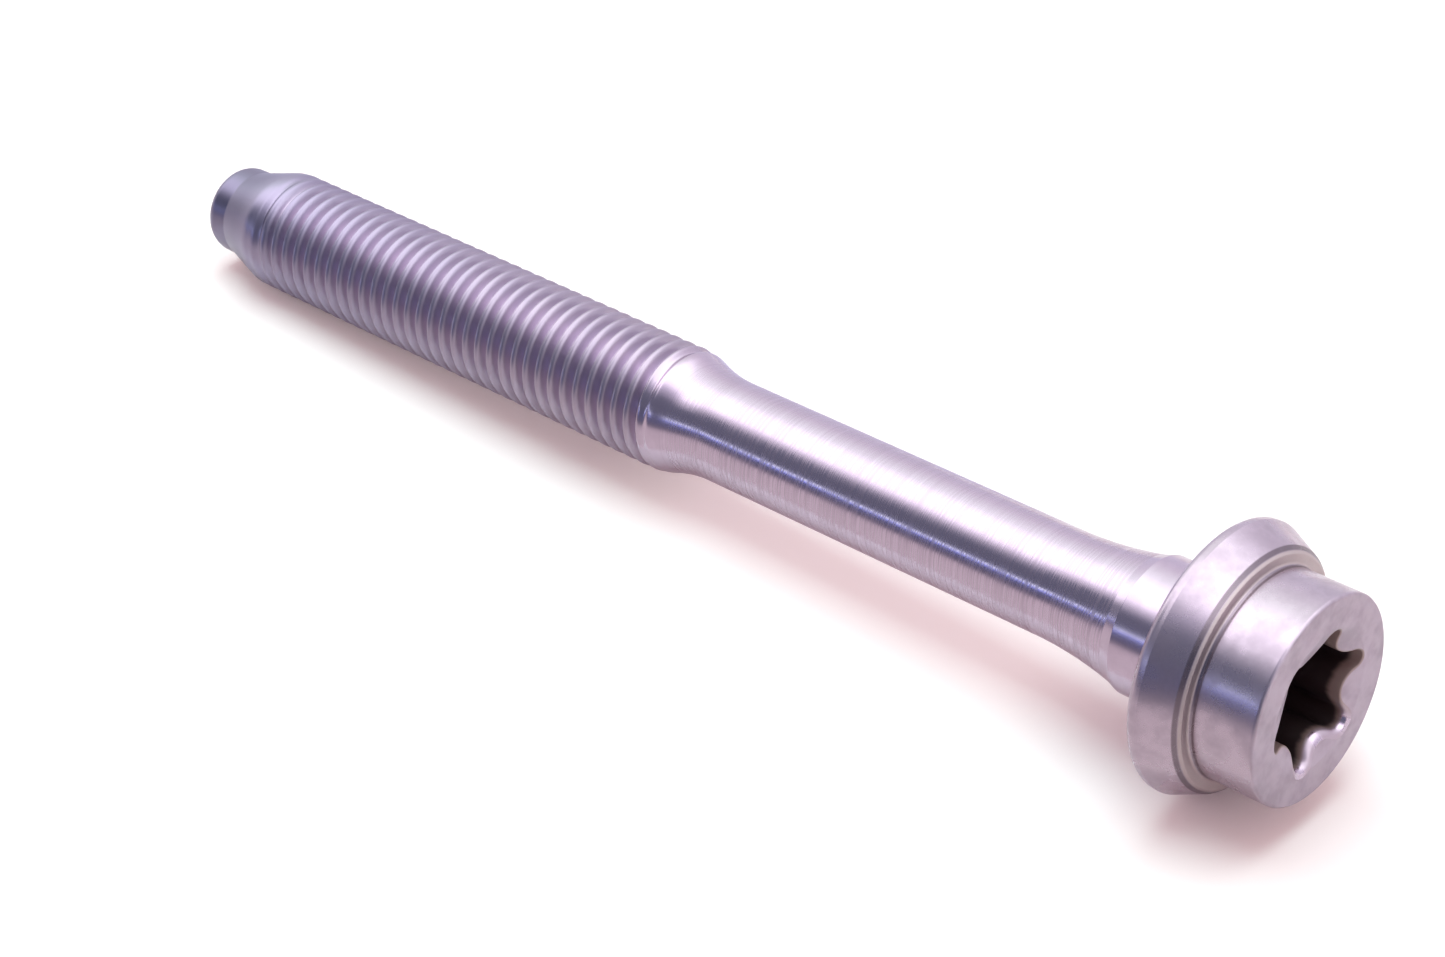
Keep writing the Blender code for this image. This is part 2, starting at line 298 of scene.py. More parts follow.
def math_pair(operation):
    """An operator on terms and its reflected form, each of which adds one Math node."""
    return (
        lambda term, other: term.tree.math(operation, term, other),
        lambda term, other: term.tree.math(operation, other, term),
    )


class Term:
    """A socket of a node tree that Python's operators work on."""

    __add__, __radd__ = math_pair("ADD")
    __sub__, __rsub__ = math_pair("SUBTRACT")
    __mul__, __rmul__ = math_pair("MULTIPLY")
    __truediv__, __rtruediv__ = math_pair("DIVIDE")

    def __init__(self, tree, socket):
        self.tree = tree
        self.socket = socket


def rgba(values):
    """Three colour values as four."""
    return (values[0], values[1], values[2], 1.0)


class Tree:
    """A node tree of any kind, filled one node at a time."""

    def __init__(self, nodes):
        self.nodes = nodes

    def put(self, socket, value):
        """Links a term to a socket, or sets the socket's own value."""
        if isinstance(value, Term):
            self.nodes.links.new(value.socket, socket)
        else:
            socket.default_value = value

    def fill(self, node, inputs):
        """Fills a node's sockets by their names or numbers."""
        for name, value in inputs.items():
            self.put(node.inputs[name], value)

    def node(self, kind, settings=None, inputs=None, output=0):
        """Adds a node, sets it up, fills its sockets and gives one of its outputs."""
        made = self.nodes.nodes.new(kind)
        for name, value in (settings or {}).items():
            setattr(made, name, value)
        self.fill(made, inputs or {})
        return Term(self, made.outputs[output])

    def math(self, operation, first, second=0.0):
        """One Math node."""
        return self.node("ShaderNodeMath", {"operation": operation}, {0: first, 1: second})

    def larger(self, first, second):
        """The larger of two values."""
        return self.math("MAXIMUM", first, second)

    def split(self, vector):
        """A vector's three coordinates."""
        made = self.nodes.nodes.new("ShaderNodeSeparateXYZ")
        self.put(made.inputs[0], vector)
        return [Term(self, socket) for socket in made.outputs]

    def from_axis(self, x, y):
        """The distance from the bolt's axis."""
        return self.math("POWER", x * x + y * y, 0.5)

    def mix(self, factor, first, second):
        """A colour between two, each a term or three values."""
        first, second = (end if isinstance(end, Term) else rgba(end) for end in (first, second))
        return self.node("ShaderNodeMix", {"data_type": "RGBA"}, {0: factor, 6: first, 7: second}, 2)

    def between(self, value, low, high, first=0.0, second=1.0):
        """Goes smoothly from first to second as value goes from low to high."""
        places = {0: value, 1: low, 2: high, 3: first, 4: second}
        return self.node("ShaderNodeMapRange", {"interpolation_type": "SMOOTHSTEP"}, places)

    def falling(self, value, low, high, last=0.0):
        """Falls smoothly from 1 as value goes from low to high."""
        return self.between(value, low, high, 1.0, last)

    def within(self, value, low, high, soft):
        """1 where a value lies between two others, fading to 0 over a soft edge outside them."""
        return self.between(value, low - soft, low) * self.falling(value, high, high + soft)

    def noise(self, place, scale, detail, roughness=0.5):
        """Noise from 0 to 1 that gets finer with its scale."""
        inputs = {"Vector": place, "Scale": scale, "Detail": detail, "Roughness": roughness}
        return self.node("ShaderNodeTexNoise", None, inputs)

    def stretched(self, place, scale):
        """Coordinates scaled along each axis, which draws noise out where the scale is small."""
        return self.node("ShaderNodeMapping", None, {"Vector": place, "Scale": scale})

    def bump(self, relief, strength, distance):
        """A normal bent by a relief."""
        return self.node("ShaderNodeBump", None, {"Strength": strength, "Distance": distance, "Height": relief})

    def glow(self, colour, strength=1.0):
        """A shader that gives light."""
        return self.node("ShaderNodeEmission", None, {"Color": colour, "Strength": strength})

    def show(self, shader):
        """Puts a shader on the material's surface."""
        self.put(self.nodes.nodes["Material Output"].inputs["Surface"], shader)

    def show_either(self, factor, first, second):
        """Puts a mix of two shaders on the material's surface."""
        self.show(self.node("ShaderNodeMixShader", None, {0: factor, 1: first, 2: second}))

    def both(self, first, second):
        """Two shaders together."""
        return self.node("ShaderNodeAddShader", None, {0: first, 1: second})


def corners(points, steps=CORNER_STEPS):
    """A profile through corner points (radius, height, rounding), each rounded by a tangent arc."""
    path = []
    for index, (radius, height, rounding) in enumerate(points):
        here = Vector((radius, height))
        if rounding == 0 or index in (0, len(points) - 1):
            path.append(here)
            continue
        back = (Vector(points[index - 1][:2]) - here).normalized()
        ahead = (Vector(points[index + 1][:2]) - here).normalized()
        half = acos(max(-1.0, min(1.0, back.dot(ahead)))) / 2
        centre = here + (back + ahead).normalized() * rounding / sin(half)
        first = here + back * rounding / tan(half) - centre
        last = here + ahead * rounding / tan(half) - centre
        sweep = first.angle_signed(last)
        for step in range(steps + 1):
            turn = Matrix.Rotation(-sweep * step / steps, 2)
            path.append(centre + turn @ first)
    return path


def arc(centre, radius, start, end, steps):
    """Points of a profile from one angle to another round a centre; angle 0 points away from the axis."""
    points = []
    for step in range(steps + 1):
        turn = start + (end - start) * step / steps
        points.append(Vector((centre[0] + radius * cos(turn), centre[1] + radius * sin(turn))))
    return points


def supported(path, longest):
    """The same profile with points added close to the ends of its long runs and at least every so often."""
    dense = [path[0]]
    for start, end in zip(path, path[1:]):
        run = (end - start).length
        places = []
        if run > LONG_RUN:
            count = max(1, round(run / longest))
            places = [EDGE_SUPPORT] + [run * step / count for step in range(1, count)] + [run - EDGE_SUPPORT]
        dense += [start.lerp(end, place / run) for place in places] + [end]
    return dense


def turned_rows(path, around):
    """A ring of points for each point of a profile; a point on the axis gives a pole."""
    rows = []
    turns = np.arange(around) * 2 * pi / around
    for radius, height in path:
        if radius < ON_AXIS:
            rows.append(np.array([[0.0, 0.0, height]]))
        else:
            rows.append(np.stack([radius * np.cos(turns), radius * np.sin(turns), np.full(around, height)], axis=1))
    return rows


def add_object(name, data):
    """A new object in the scene."""
    thing = bpy.data.objects.new(name, data)
    bpy.context.scene.collection.objects.link(thing)
    return thing


def add_mesh(name, points, faces, materials):
    """A new object with a mesh of its own."""
    mesh = bpy.data.meshes.new(name)
    mesh.from_pydata(points, [], faces)
    for material in materials:
        mesh.materials.append(material)
    return add_object(name, mesh)


def loft(name, rows, materials, slots=None):
    """A closed mesh through rings of points, with a pole at each end, shaded smooth."""
    around = max(len(row) for row in rows)
    starts = np.cumsum([0] + [len(row) for row in rows]).tolist()
    faces = []
    marks = []
    for index in range(len(rows) - 1):
        low, high = starts[index], starts[index + 1]
        mark = slots[index] if slots else 0
        for step in range(around):
            after = (step + 1) % around
            if len(rows[index]) == 1:
                faces.append((low, high + after, high + step))
            elif len(rows[index + 1]) == 1:
                faces.append((low + step, low + after, high))
            else:
                faces.append((low + step, low + after, high + after, high + step))
            marks.append(mark)
    piece = add_mesh(name, np.concatenate(rows).tolist(), faces, materials)
    piece.data.polygons.foreach_set("material_index", marks)
    piece.data.shade_smooth()
    return piece


def hand_over(piece):
    """Hangs the piece on the root body and hides the imported solid that it stands in for."""
    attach(piece, BODY)
    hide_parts(NODE)


def half_chord(radius, centre, turns):
    """Half of what a circle cuts out of each ray from the axis, at these turns from the circle's centre."""
    return np.sqrt(np.maximum(radius**2 - (centre * np.sin(turns)) ** 2, 0))


def lobe_radius(sizes, turns):
    """Distance from the axis to the six-lobe outline in each direction; a lobe points along +Y."""
    half = pi / LOBES
    lobe = sizes.lobe_radius
    lobe_centre = sizes.lobes / 2 - lobe
    ridge_top = sizes.ridges / 2
    reach = lobe_centre * cos(half)
    ridge = (lobe**2 - lobe_centre**2 - ridge_top**2 + 2 * ridge_top * reach) / (2 * (ridge_top - reach - lobe))
    ridge_centre = ridge_top + ridge
    to_ridge = Vector((ridge_centre * cos(half) - lobe_centre, ridge_centre * sin(half)))
    tangent = Vector((lobe_centre, 0)) + to_ridge.normalized() * lobe
    from_lobe = np.abs((turns - pi / 2 + half) % (2 * half) - half)
    from_ridge = half - from_lobe
    on_lobe = lobe_centre * np.cos(from_lobe) + half_chord(lobe, lobe_centre, from_lobe)
    on_ridge = ridge_centre * np.cos(from_ridge) - half_chord(ridge, ridge_centre, from_ridge)
    return np.where(from_lobe < atan2(tangent.y, tangent.x), on_lobe, on_ridge)


def socket_rows(sizes):
    """Rings of points from the socket's floor up its wall and out over its mouth, and how many are inside it."""
    turns = np.arange(sizes.around) * 2 * pi / sizes.around
    radius = lobe_radius(sizes, turns)
    across = np.stack([np.cos(turns), np.sin(turns)], axis=1)
    wall = across * radius[:, None]
    along = np.roll(wall, -1, axis=0) - np.roll(wall, 1, axis=0)
    outward = np.stack([along[:, 1], -along[:, 0]], axis=1)
    outward /= np.linalg.norm(outward, axis=1)[:, None]
    mouth = sizes.mouth_diameter / 2
    slope = tan(sizes.mouth_angle)
    floor_slope = tan(sizes.floor_angle)
    point = sizes.socket_depth + sizes.lobes / 2 * floor_slope

    def ring(flat, height):
        return np.column_stack([flat, height])

    def on_mouth(flat):
        return np.maximum(mouth - np.linalg.norm(flat, axis=1), 0) * slope

    rows = [np.array([[0.0, 0.0, point]])]
    rows += [ring(wall * part, point - radius * part * floor_slope) for part in FLOOR_SHARES]
    low = point - radius * floor_slope
    from_wear = np.abs((turns - sizes.wear_angle + pi) % (2 * pi) - pi)
    fade = np.clip((sizes.wear_spread - from_wear) / (sizes.wear_spread * WEAR_FADE), 0, 1)
    worn = fade * fade * (3 - 2 * fade)
    edge = sizes.mouth_edge + sizes.mouth_wear * worn
    high = on_mouth(wall) + edge
    rows += [ring(wall, low + (high - low) * part) for part in WALL_SHARES]
    lip = wall + outward * edge[:, None]
    lip_height = on_mouth(lip)
    wall_top = on_mouth(wall)
    for part in LIP_SHARES:
        flat = wall + (lip - wall) * part**2
        bend = (1 - part) ** 2 * high + 2 * part * (1 - part) * wall_top + part**2 * lip_height
        rows.append(ring(flat, bend))
    wall_rows = len(rows)
    reach = np.linalg.norm(lip, axis=1)
    crease = lip * (np.maximum(mouth, reach + MOUTH_WIDTH) / reach)[:, None]
    for part in MOUTH_SHARES:
        flat = lip + (crease - lip) * part
        rows.append(ring(flat, on_mouth(flat)))
    rim = across * sizes.mouth_rim / 2
    for part in FACE_SHARES:
        flat = crease + (rim - crease) * part
        rows.append(ring(flat, on_mouth(flat)))
    return rows, wall_rows


def new_material(name):
    """A material with its tree and the shader that it starts with."""
    material = bpy.data.materials.new(name)
    material.use_nodes = True
    return material, Tree(material.node_tree), material.node_tree.nodes["Principled BSDF"]


def object_place(tree):
    """Object coordinates, whole and one by one."""
    place = tree.node("ShaderNodeTexCoord", output="Object")
    return place, *tree.split(place)


def below_mouth(tree, height, radius, head):
    """How deep a place lies below the head's face, or below the socket's mouth inside it."""
    return height - tree.larger(head.mouth_diameter / 2 - radius, 0.0) * tan(head.mouth_angle)


def forged_steel(steel, head):
    """The head's satin forged finish, slightly blotchy and stained, with painted shade in the flange's chamfer and
    the head's foot.
    """
    material, tree, shader = new_material("forged_steel")
    place, x, y, height = object_place(tree)
    radius = tree.from_axis(x, y)
    blotch = tree.noise(place, scale=420.0, detail=4.0, roughness=0.6)
    fine = tree.noise(place, scale=5200.0, detail=2.0)
    broad = tree.noise(place, scale=300.0, detail=3.0, roughness=0.65)
    patches = tree.between(blotch, 0.35, 0.68)

    above_land = height - head.height
    past_front = radius - head.flange_front / 2
    past_side = radius - head.diameter / 2
    # Painted shade: dark bands in the flange's chamfer and in the hollow of the head's foot
    chamfer = tree.within(above_land / head.flange_chamfer, *CHAMFER_SHADE_HEIGHTS, CHAMFER_SHADE_SOFT)
    chamfer = chamfer * tree.between(past_front, *CHAMFER_SHADE_RADII)
    foot = tree.within(above_land, *FOOT_SHADE_HEIGHTS, BAND_SOFT) * tree.falling(past_side, *FOOT_SHADE_RADII)
    land = tree.within(above_land, *LAND_HEIGHTS, BAND_SOFT) * tree.between(past_side, *LAND_RADII)
    face = tree.falling(below_mouth(tree, height, radius, head), *FACE_ENDS)
    stain = face * tree.between(broad, 0.40, 0.66)

    colour = tree.mix(tree.larger(patches, face * 0.8), steel.head_tint, steel.head_dull)
    colour = tree.mix(stain * 0.30, colour, steel.seam)
    colour = tree.mix(land, colour, steel.land)
    colour = tree.mix(tree.larger(chamfer * 0.76, foot * 0.60), colour, steel.seam)
    roughness = steel.head_roughness - 0.04 + patches * 0.10 + (fine - 0.5) * 0.05 + face * 0.16 + land * 0.22
    bump = tree.bump(blotch * 0.85 + fine * 0.15, strength=0.35, distance=0.00003)
    tree.fill(shader, {"Base Color": colour, "Roughness": roughness, "Metallic": 1.0, "Normal": bump})
    return material


def socket_steel(steel, head):
    """The socket's walls: brownish steel near the mouth, rubbed bright on its worn side, and painted dark with shade
    further in.
    """
    material, tree, shader = new_material("socket_steel")
    place, x, y, height = object_place(tree)
    radius = tree.from_axis(x, y)
    depth = below_mouth(tree, height, radius, head)
    streak = tree.noise(tree.stretched(place, (1.0, 1.0, 0.15)), scale=2200.0, detail=3.0)
    toward = (x * cos(head.wear_angle) + y * sin(head.wear_angle)) / tree.larger(radius, 0.0001)
    worn = tree.between(toward, cos(head.wear_spread), cos(head.wear_spread * 0.7))
    # Painted shade: the colour goes dark with depth into the socket, a little deeper on the worn side
    dark = tree.between(depth + (streak - 0.5) * 0.0005 + worn * 0.0002, *SOCKET_SHADE_BEGINS)

    # A driver rubs the ends of the lobes and the tops of the ridges and leaves the flanks between them dull
    lobes_and_ridges = tree.math("SINE", tree.math("ARCTAN2", y, x) * (2.0 * LOBES) + pi / 2)
    borne = tree.between(lobes_and_ridges, -0.5, 0.9, 0.1, 1.0)
    rubbed = worn * tree.falling(depth, *RUBBING_ENDS)
    shine = rubbed * borne
    edge = tree.mix(borne, steel.head_dull, steel.tint)
    wall = tree.mix(rubbed, steel.socket, edge)
    finish = {
        "Base Color": tree.mix(dark, wall, steel.deep),
        "Roughness": 0.34 - shine * 0.16 + streak * 0.08,
        "Metallic": 0.45 + rubbed * 0.25 + shine * 0.30,
        "Normal": tree.bump(streak, strength=0.3, distance=0.00003),
    }
    tree.fill(shader, finish)
    return material


def turned_steel(steel, shank, thread, bearing):
    """The shank: a bright collar, a turned waist with fine rings, and a smooth rolled thread."""
    material, tree, smooth = new_material("turned_steel")
    place, x, y, height = object_place(tree)
    radius = tree.from_axis(x, y)
    past_collar = height - (bearing + shank.collar_length + shank.chamfer_length)
    past_start = height - thread.start
    turned = tree.between(past_collar, *TURNING_STARTS) * tree.falling(past_start, *TURNING_ENDS)

    rings = tree.noise(tree.stretched(place, (60.0, 60.0, 8500.0)), scale=1.0, detail=1.0)
    bands = tree.noise(tree.stretched(place, (90.0, 90.0, 1500.0)), scale=1.0, detail=2.0)
    blotch = tree.noise(place, scale=500.0, detail=3.0)
    marks = tree.between(rings * 0.85 + bands * 0.15, 0.36, 0.64)
    worn = tree.between(blotch, 0.3, 0.7) * 0.5
    tone = turned * marks * 0.75 + (1.0 - turned) * worn
    plain = tree.mix(tone, steel.tint, steel.dull)

    rolled = tree.mix(tree.between(height, thread.start, BOLT_LENGTH), steel.thread_near, steel.thread_far)
    sunk = (thread.diameter / 2 - radius) / thread.depth
    # Painted light: the groove gets a lighter colour than the crest to offset its shade
    groove = tree.between(sunk, *GROOVE_PAINTED_LIGHT_DEPTHS) * tree.falling(height, thread.end - thread.run_in, thread.end)
    rolled = tree.mix(groove, rolled, steel.groove)
    rolled = tree.mix(worn * 0.5, rolled, steel.thread_far)
    rolled = tree.mix(tree.between(height - thread.end, *TIP_DARKENS), rolled, steel.tip)
    base = tree.mix(tree.between(past_start, *TONE_CHANGES), plain, rolled)
    bump = tree.bump(rings * turned + blotch * 0.2, strength=0.5, distance=0.000016)

    grained = material.node_tree.nodes.new("ShaderNodeBsdfPrincipled")
    for shader in (smooth, grained):
        tree.fill(shader, {"Base Color": base, "Normal": bump, "Metallic": 1.0})
    tree.fill(grained, {"Anisotropic": steel.grain, "Anisotropic Rotation": 0.25})
    tree.fill(grained, {"Roughness": steel.waist_roughness + (marks - 0.5) * 0.14})
    finish = tree.between(past_start, *FINISH_CHANGES, steel.collar_roughness, steel.thread_roughness)
    tree.fill(smooth, {"Roughness": finish + (blotch - 0.5) * 0.10})
    tree.show_either(turned, Term(tree, smooth.outputs[0]), Term(tree, grained.outputs[0]))
    return material


class HEADBOLT_OT_forge_head(bpy.types.Operator):
    """Forge the head with its flange and its six-lobe socket"""

    bl_idname = "headbolt.forge_head"
    bl_label = "Forge Head"

    def execute(self, context):
        sizes = context.scene.headbolt.head
        shank = context.scene.headbolt.shank
        steel = context.scene.headbolt.steel
        bearing = sizes.height + sizes.flange_thickness
        front = sizes.flange_front / 2
        flange = sizes.flange_diameter / 2
        root = shank.collar_diameter / 2 + shank.collar_root
        outline = [
            (sizes.mouth_rim / 2, 0, 0),
            (sizes.diameter / 2, 0, sizes.edge_radius),
            (sizes.diameter / 2, sizes.height, sizes.foot_radius),
            (front - sizes.flange_chamfer, sizes.height, sizes.rim_radius),
            (front, sizes.height + sizes.flange_chamfer, sizes.rim_radius),
            (flange, sizes.height + sizes.flange_chamfer + sizes.flange_side, sizes.rim_radius),
            (flange, bearing, sizes.flange_rear_radius),
            (root, bearing, 0),
            (0, bearing, 0),
        ]
        inside, wall_rows = socket_rows(sizes)
        rows = inside + turned_rows(supported(corners(outline), HEAD_STEP), sizes.around)
        slots = [int(index < wall_rows - 1) for index in range(len(rows) - 1)]
        hand_over(loft("bolt_head", rows, [forged_steel(steel, sizes), socket_steel(steel, sizes)], slots))
        return {"FINISHED"}


def shank_path(settings):
    """The shank's profile from the bearing face up to the pilot's end, before the thread is rolled."""
    head, shank, thread = settings.head, settings.shank, settings.thread
    bearing = head.height + head.flange_thickness
    collar = shank.collar_diameter / 2
    waist = shank.waist_diameter / 2
    outer = thread.diameter / 2
    pilot = thread.pilot_diameter / 2
    collar_end = bearing + shank.collar_length
    flare_low = collar_end + shank.chamfer_length
    flare_wide = collar - shank.chamfer_length * tan(shank.chamfer_angle)
    flare_turn = acos(1 - (flare_wide - waist) / shank.flare_radius)
    flare_centre = (waist + shank.flare_radius, flare_low + shank.flare_radius * sin(flare_turn))
    bend = shank.hollow_radius + shank.crown_radius
    shoulder_turn = acos(1 - (outer - waist) / bend)
    hollow_centre = (waist + shank.hollow_radius, thread.start - bend * sin(shoulder_turn))
    crown_centre = (outer - shank.crown_radius, thread.start)
    low = [
        (0, bearing, 0),
        (collar + shank.collar_root, bearing, 0),
        (collar, bearing, shank.collar_root * COLLAR_ROOT_SHARE),
        (collar, collar_end, COLLAR_EDGE),
        (flare_wide, flare_low, 0),
    ]
    flare = arc(flare_centre, shank.flare_radius, pi + flare_turn, pi, FLARE_STEPS)
    hollow = arc(hollow_centre, shank.hollow_radius, pi, pi - shoulder_turn, HOLLOW_STEPS)
    crown = arc(crown_centre, shank.crown_radius, -shoulder_turn, 0, CROWN_STEPS)
    taper_end = thread.end + thread.taper_length
    high = [
        (outer, thread.start, 0),
        (outer, thread.end, thread.taper_edge),
        (pilot, taper_end, thread.pilot_root),
        (pilot, BOLT_LENGTH, thread.pilot_edge),
        (0, BOLT_LENGTH, 0),
    ]
    plain = corners(low)[:-1] + flare + hollow[:-1]
    rolled = crown + corners(high, TIP_CORNER_STEPS)[1:]
    thread_step = thread.pitch / thread.rows
    return supported(plain, SHANK_STEP)[:-1] + supported([plain[-1]] + rolled, thread_step)


def distinct(path):
    """The path without points that repeat the one before."""
    kept = [path[0]]
    for point in path[1:]:
        if (point - kept[-1]).length > SAME_POINT:
            kept.append(point)
    return kept


class HEADBOLT_OT_turn_shank(bpy.types.Operator):
    """Turn the shank's blank with its collar, waist, shoulder and pilot"""

    bl_idname = "headbolt.turn_shank"
    bl_label = "Turn Shank"

    def execute(self, context):
        settings = context.scene.headbolt
        bearing = settings.head.height + settings.head.flange_thickness
        material = turned_steel(settings.steel, settings.shank, settings.thread, bearing)
        rows = turned_rows(distinct(shank_path(settings)), settings.shank.around)
        loft("bolt_shank", rows, [material])
        return {"FINISHED"}


# The named inputs of the thread's node tree, and the sizes that they take
THREAD_INPUTS = {
    "Pitch": "pitch",
    "Depth": "depth",
    "Crest Share": "crest",
    "Root Share": "root",
    "Crown": "crown",
    "Start": "start",
    "End": "end",
    "Run-out": "run_out",
    "Run-in": "run_in",
}


def thread_tree(material):
    """Geometry nodes that press a helical groove into a round blank along Z."""
    group = bpy.data.node_groups.new("rolled_thread", "GeometryNodeTree")
    group.interface.new_socket("Geometry", in_out="INPUT", socket_type="NodeSocketGeometry")
    for name in THREAD_INPUTS:
        group.interface.new_socket(name, in_out="INPUT", socket_type="NodeSocketFloat")
    group.interface.new_socket("Geometry", in_out="OUTPUT", socket_type="NodeSocketGeometry")
    tree = Tree(group)
    given = group.nodes.new("NodeGroupInput")
    value = {socket.name: Term(tree, socket) for socket in given.outputs if socket.name}

    x, y, z = tree.split(tree.node("GeometryNodeInputPosition"))
    turn = tree.math("ARCTAN2", y, x) / (2 * pi)
    phase = (z - value["Start"]) / value["Pitch"] - turn
    from_crest = tree.math("PINGPONG", phase, 0.5)
    crest_edge = value["Crest Share"] * 0.5
    root_edge = 0.5 - value["Root Share"] * 0.5
    flank = tree.between(from_crest, crest_edge, root_edge)
    across = from_crest / crest_edge
    crown = tree.math("MINIMUM", across * across, 1.0) * value["Crown"]
    opens = tree.between(z, value["Start"] - value["Run-out"], value["Start"] + value["Run-out"] * OPENS_PAST)
    closes = tree.falling(z, value["End"] - value["Run-in"], value["End"])
    press = (flank * value["Depth"] + crown) * opens * closes
    radius = tree.from_axis(x, y)
    narrower = tree.larger(radius - press, 0.0) / tree.larger(radius, TINY_RADIUS)
    moved = tree.node("ShaderNodeCombineXYZ", None, {0: x * narrower, 1: y * narrower, 2: z})
    pressed = tree.node("GeometryNodeSetPosition", None, {"Geometry": value["Geometry"], "Position": moved})
    real = tree.node("GeometryNodeRealizeInstances", None, {0: pressed})
    finished = tree.node("GeometryNodeSetMaterial", None, {"Geometry": real, "Material": material})
    out = group.nodes.new("NodeGroupOutput")
    tree.put(out.inputs[0], finished)
    return group


class HEADBOLT_OT_roll_thread(bpy.types.Operator):
    """Roll the right-hand thread into the shank's blank"""

    bl_idname = "headbolt.roll_thread"
    bl_label = "Roll Thread"

    def execute(self, context):
        sizes = context.scene.headbolt.thread
        shank = bpy.data.objects["bolt_shank"]
        group = thread_tree(shank.data.materials[0])
        roll = shank.modifiers.new("roll_thread", "NODES")
        roll.node_group = group
        for item in group.interface.items_tree:
            if item.in_out == "INPUT" and item.name in THREAD_INPUTS:
                roll[item.identifier] = getattr(sizes, THREAD_INPUTS[item.name])
        rolled = shank.evaluated_get(context.evaluated_depsgraph_get())
        mesh = bpy.data.meshes.new_from_object(rolled)
        shank.modifiers.clear()
        shank.data = mesh
        mesh.name = "bolt_shank"
        hand_over(shank)
        return {"FINISHED"}


def direction(azimuth, elevation):
    """A unit vector from the bolt; azimuth 0 points along -Y and 90 degrees along +X."""
    return Vector((sin(azimuth) * cos(elevation), -cos(azimuth) * cos(elevation), sin(elevation)))


def facing(location, normal, up):
    """A matrix that puts an object at a place with its local Z along a normal and its local Y near up."""
    back = normal.normalized()
    right = up.cross(back).normalized()
    top = back.cross(right)
    matrix = Matrix((right, top, back)).transposed().to_4x4()
    matrix.translation = location
    return matrix


def stage_plane(name, size, location, normal, material):
    """A square of the stage, with its place in its mesh."""
    half = size / 2
    leaning = Vector((0.1, 0.2, 1))  # no plane of the stage faces this way
    matrix = facing(location, normal, leaning)
    spots = [matrix @ Vector((x, y, 0)) for x, y in ((-half, -half), (half, -half), (half, half), (-half, half))]
    add_mesh(name, spots, [(0, 1, 2, 3)], [material])


def table_level(studio):
    """The level direction along the table, away from the bolt on the camera's side."""
    over = direction(studio.table_azimuth, 0)
    level = Vector((over.y, -over.x, 0))
    return level if level.dot(direction(studio.azimuth, 0)) > 0 else -level


def stage_material(name):
    """A material of the stage with its tree, still without a shader."""
    material, tree, shader = new_material(name)
    material.node_tree.nodes.remove(shader)
    return material, tree


def table_material(studio):
    """A white table top that can't be seen from behind, with the light that the waist throws back on it."""
    material, tree = stage_material("white_table")
    behind = tree.node("ShaderNodeNewGeometry", output="Backfacing")
    reflected = tree.node("ShaderNodeLightPath", output="Is Glossy Ray")
    seen = tree.node("ShaderNodeLightPath", output="Is Camera Ray")
    x, y, height = object_place(tree)[1:]
    level = table_level(studio)
    aside = tree.math("ABSOLUTE", x * level.x + y * level.y)
    along = tree.between(height, *BOUNCE_STARTS) * tree.falling(height, *BOUNCE_FADES, BOUNCE_STAYS)
    bounced = seen * tree.falling(aside, *BOUNCE_ASIDE) * along
    glow = tree.glow(tree.mix(bounced, BLACK, studio.bounce))
    colour = tree.mix(reflected, studio.table, studio.table_reflected)
    paper = tree.node("ShaderNodeBsdfDiffuse", None, {"Color": colour})
    tree.show_either(behind, tree.both(paper, glow), tree.node("ShaderNodeBsdfTransparent"))
    return material


def floor_material(studio):
    """A pale floor for the other views, seen only by the camera and only from above."""
    material, tree = stage_material("pale_floor")
    behind = tree.node("ShaderNodeNewGeometry", output="Backfacing")
    seen = tree.node("ShaderNodeLightPath", output="Is Camera Ray")
    paper = tree.node("ShaderNodeBsdfDiffuse", None, {"Color": rgba(studio.floor)})
    pale = tree.both(paper, tree.glow(rgba(studio.floor_glow)))
    tree.show_either(seen * (1.0 - behind), tree.node("ShaderNodeBsdfTransparent"), pale)
    return material


# The light cards that only reflections see. Stops are (place, colour) from a card's first edge to its last. Arc
# cards bend round the bolt: two ends as (height, first angle, last angle), in degrees above level on the camera's
# side, then the distance, the stops and the strength. Floor cards lie just above the table: two corners of the first
# edge and two of the last as (away, along), away from the bolt on the camera's side and along it, then the stops.
ARC_STEPS = 48
CARD_DISTANCE = 0.9
DARK_DISTANCE = 0.93
SLIT_DISTANCE = 0.85
CARD_LIFT = 0.0012
SOFTBOX_STRENGTH = 2.6
SOFTBOX_HEAD_STRENGTH = 2.8
SLIT_STRENGTH = 2.0
DIM_STRENGTH = 1.0
SOFTBOX_STOPS = [
    (0.00, (0.09, 0.10, 0.13)),
    (0.09, (0.45, 0.46, 0.50)),
    (0.157, (0.93, 0.95, 1.0)),
    (0.373, (0.93, 0.97, 1.0)),
    (0.478, (0.62, 0.70, 0.67)),
    (0.597, (0.49, 0.53, 0.53)),
    (0.716, (0.405, 0.405, 0.44)),
    (0.836, (0.35, 0.35, 0.40)),
]
SOFTBOX_FRONT_STOPS = [
    (0.00, (0.09, 0.10, 0.13)),
    (0.12, (0.35, 0.35, 0.42)),
    (0.20, (0.93, 0.95, 1.0)),
    (0.48, (0.93, 0.97, 1.0)),
    (0.57, (0.78, 0.83, 0.85)),
    (0.67, (0.56, 0.57, 0.62)),
    (0.80, (0.40, 0.39, 0.44)),
    (1.000, (0.35, 0.35, 0.40)),
]
DARK_STOPS = [
    (0.28, (0.17, 0.19, 0.31)),
    (0.42, (0.19, 0.21, 0.28)),
    (1.00, (0.20, 0.23, 0.31)),
]
SLIT_STOPS = [
    (0.00, (0.16, 0.20, 0.60)),
    (0.35, (0.26, 0.34, 0.95)),
    (0.58, (0.75, 0.88, 1.0)),
    (1.00, (0.78, 0.90, 1.0)),
]
